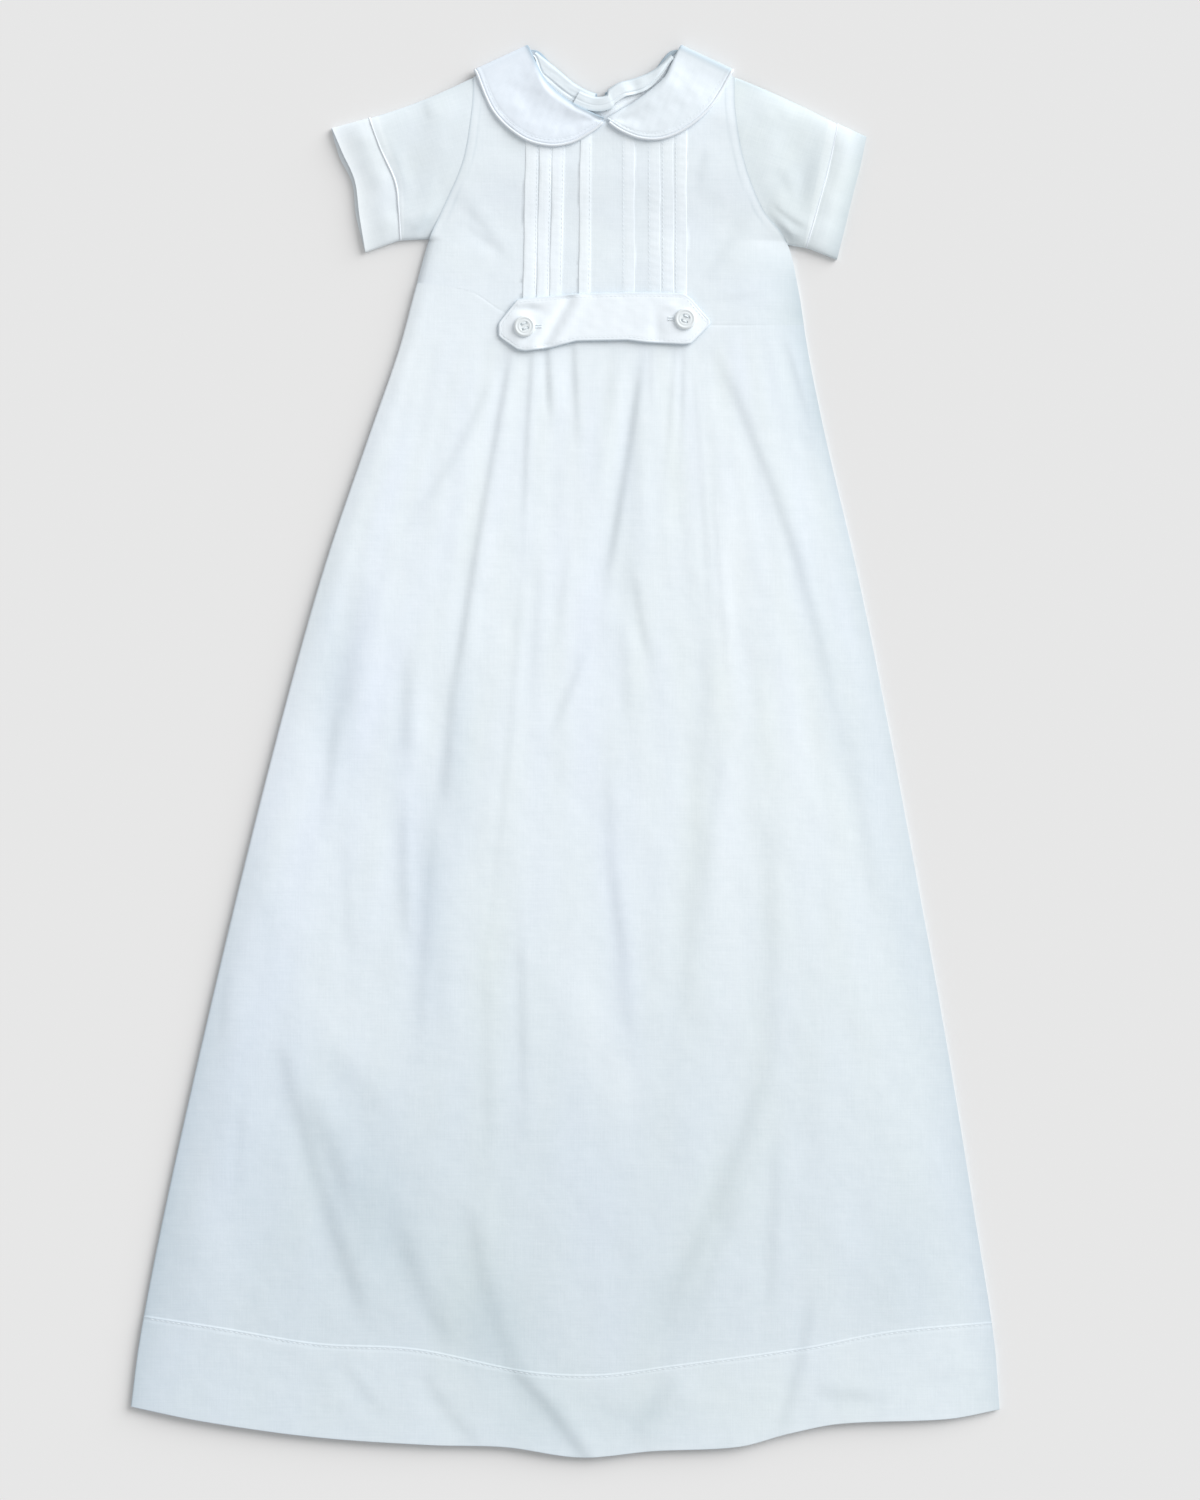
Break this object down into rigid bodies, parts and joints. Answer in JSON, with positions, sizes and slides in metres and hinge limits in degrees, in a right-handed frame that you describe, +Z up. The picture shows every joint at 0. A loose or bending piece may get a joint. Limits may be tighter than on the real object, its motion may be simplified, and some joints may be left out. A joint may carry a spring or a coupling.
{
  "type": "christening gown",
  "caption": "Long baby christening gown laid flat, with short cuffed sleeves, piped round collar, tucked front and buttoned waist tab.",
  "frame": {"origin": "on the surface the gown lies on, in the middle of its width and length", "axes": "+X to the right as the front is looked at, +Y towards the collar, +Z up out of the front"},
  "size_m": [0.5207, 0.8467, 0.0103],
  "materials": {
    "cotton": "matt fine plain-woven white cotton",
    "trim": "white bias-cut cotton over cord",
    "button": "pearly white, softly glossy"
  },
  "bodies": {
    "root": {"front_bodice": "cotton", "front_skirt": "cotton", "back_skirt": "cotton", "back_bodice_left": "cotton", "sleeve_left": "cotton", "cuff_left": "cotton", "cuff_piping_left": "trim", "collar_left": "cotton", "collar_piping_left": "trim", "neck_band_left": "cotton", "back_bodice_right": "cotton", "sleeve_right": "cotton", "cuff_right": "cotton", "cuff_piping_right": "trim", "collar_right": "cotton", "collar_piping_right": "trim", "neck_band_right": "cotton", "front_tab": "cotton", "button_left": "button", "button_right": "button"}
  },
  "joints": []
}
